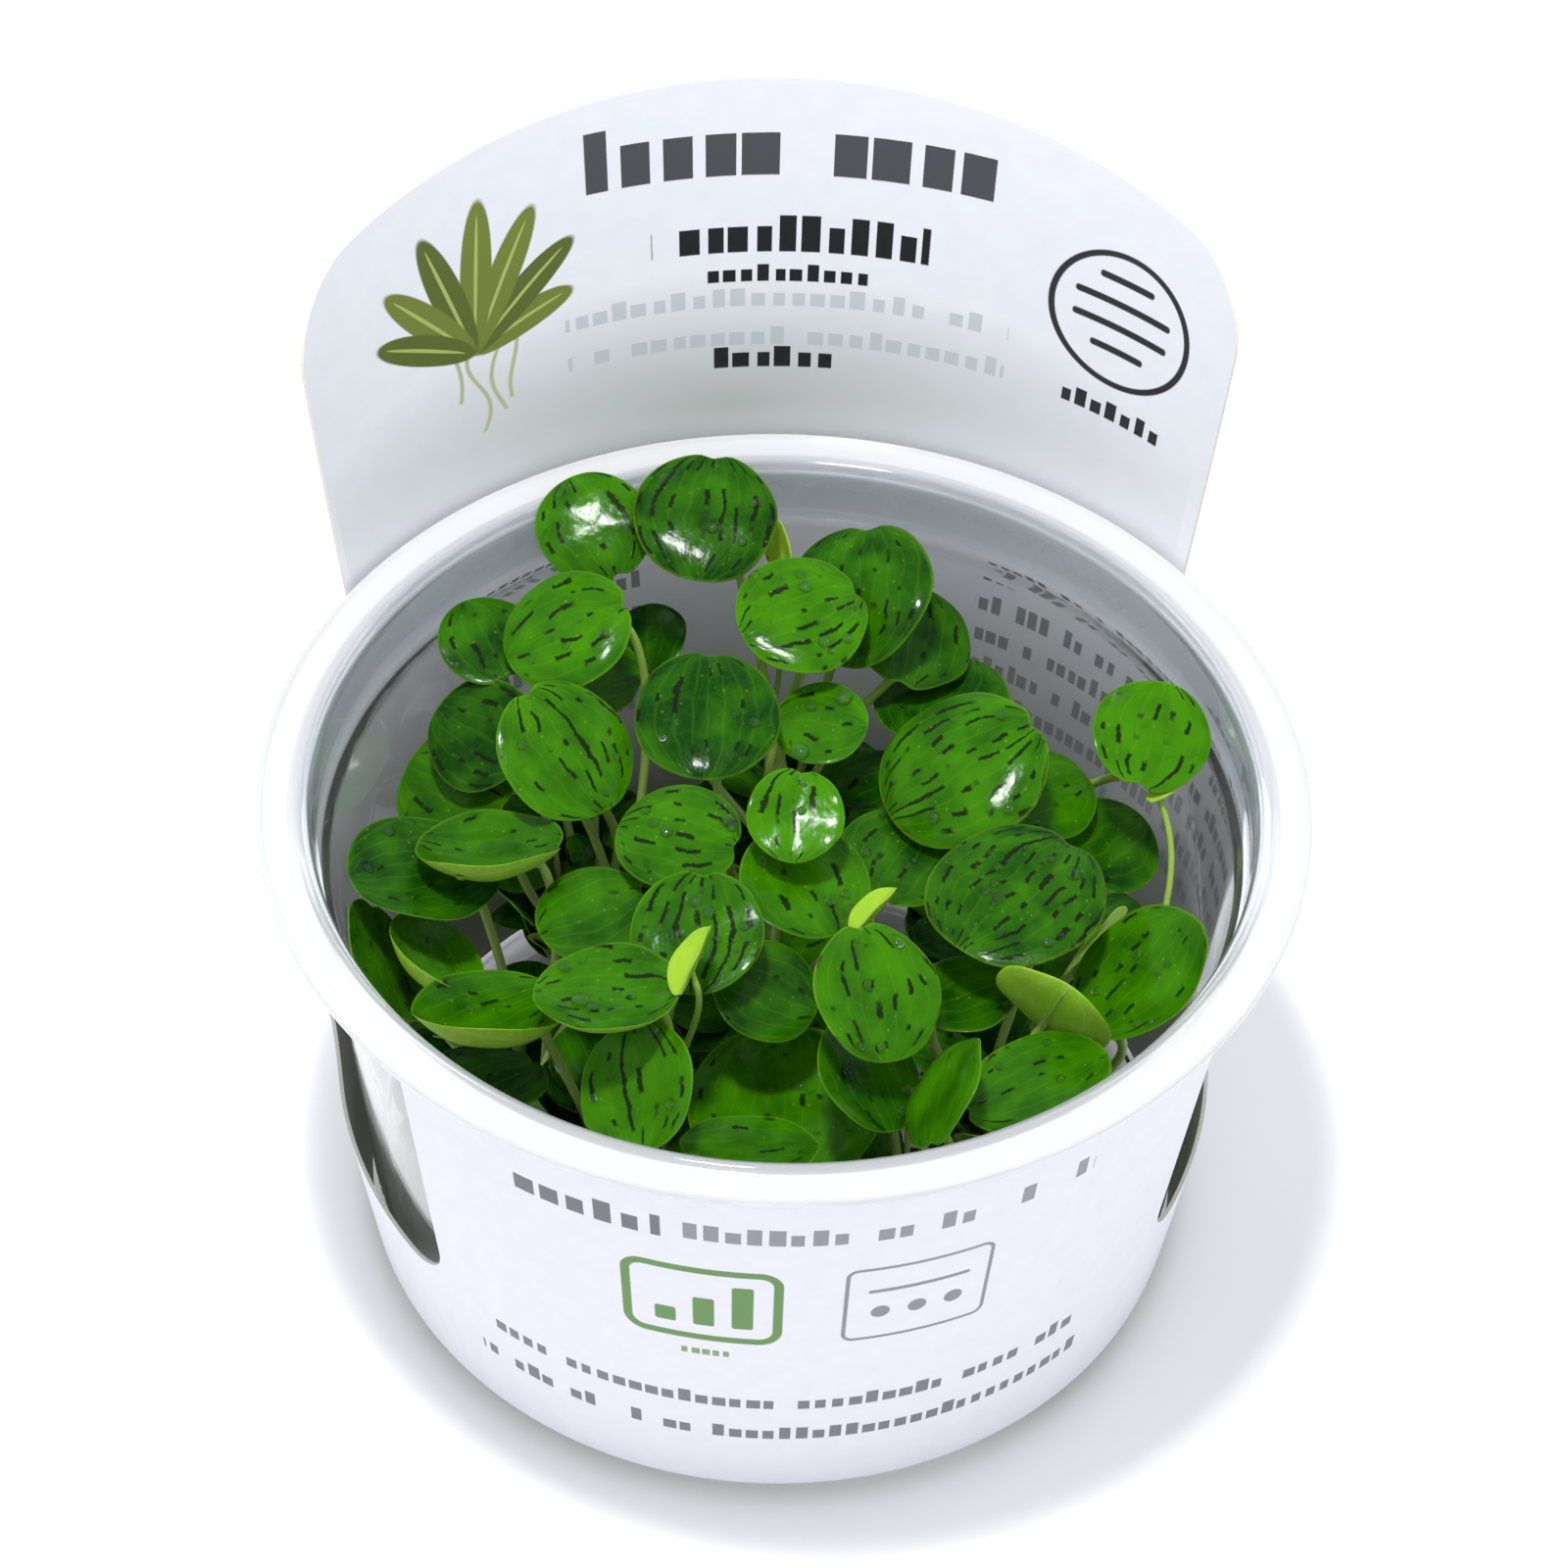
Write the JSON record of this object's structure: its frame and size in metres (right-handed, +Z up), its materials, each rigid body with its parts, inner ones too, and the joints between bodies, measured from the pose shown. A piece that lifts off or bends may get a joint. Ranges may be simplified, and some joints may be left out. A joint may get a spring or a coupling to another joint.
{
  "type": "frogbit",
  "caption": "small floating aquarium plants, round glossy leaves on thin stalks over rosettes with roots, crowded in a clear round cup with a white card sleeve and tall back card",
  "frame": {"origin": "centre of the cup's flat base, on the surface that it stands on", "axes": "Z up along the cup's axis; -Y towards the front of the sleeve; +Y towards the tall back card; X to the right seen from the front"},
  "size_m": [0.09, 0.0959, 0.0879],
  "materials": {
    "cup": "clear moulded plastic, see-through",
    "sleeve": null,
    "crown": "pale green stem, small green leaves and whitish roots",
    "leaf": "glossy mid green living leaf with short maroon streaks",
    "young_leaf": "soft yellow-green rolled young leaf"
  },
  "bodies": {
    "root": {"cup": "cup", "sleeve": "sleeve", "crown_a": "crown", "crown_b": "crown", "crown_c": "crown", "crown_d": "crown", "crown_e": "crown", "crown_f": "crown", "crown_g": "crown", "crown_h": "crown", "leaf_01": "leaf", "leaf_02": "leaf", "leaf_03": "young_leaf", "leaf_04": "leaf", "leaf_05": "leaf", "leaf_06": "leaf", "leaf_07": "leaf", "leaf_08": "leaf", "leaf_09": "leaf", "leaf_10": "leaf", "leaf_11": "leaf", "leaf_12": "leaf", "leaf_13": "leaf", "leaf_14": "leaf", "leaf_15": "leaf", "leaf_16": "leaf", "leaf_17": "leaf", "leaf_18": "leaf", "leaf_19": "leaf", "leaf_20": "young_leaf", "leaf_21": "leaf", "leaf_22": "leaf", "leaf_23": "leaf", "leaf_24": "leaf", "leaf_25": "leaf", "leaf_26": "leaf", "leaf_27": "leaf", "leaf_28": "leaf", "leaf_29": "leaf", "leaf_30": "leaf", "leaf_31": "leaf", "leaf_32": "leaf", "leaf_33": "young_leaf", "leaf_34": "leaf", "leaf_35": "young_leaf", "leaf_36": "leaf", "leaf_37": "leaf", "leaf_38": "leaf", "leaf_39": "leaf", "leaf_40": "leaf", "leaf_41": "leaf", "leaf_42": "leaf", "leaf_43": "leaf", "leaf_44": "leaf", "leaf_45": "leaf", "leaf_46": "leaf", "leaf_47": "leaf", "leaf_48": "leaf", "leaf_49": "leaf", "leaf_50": "leaf"}
  },
  "joints": []
}
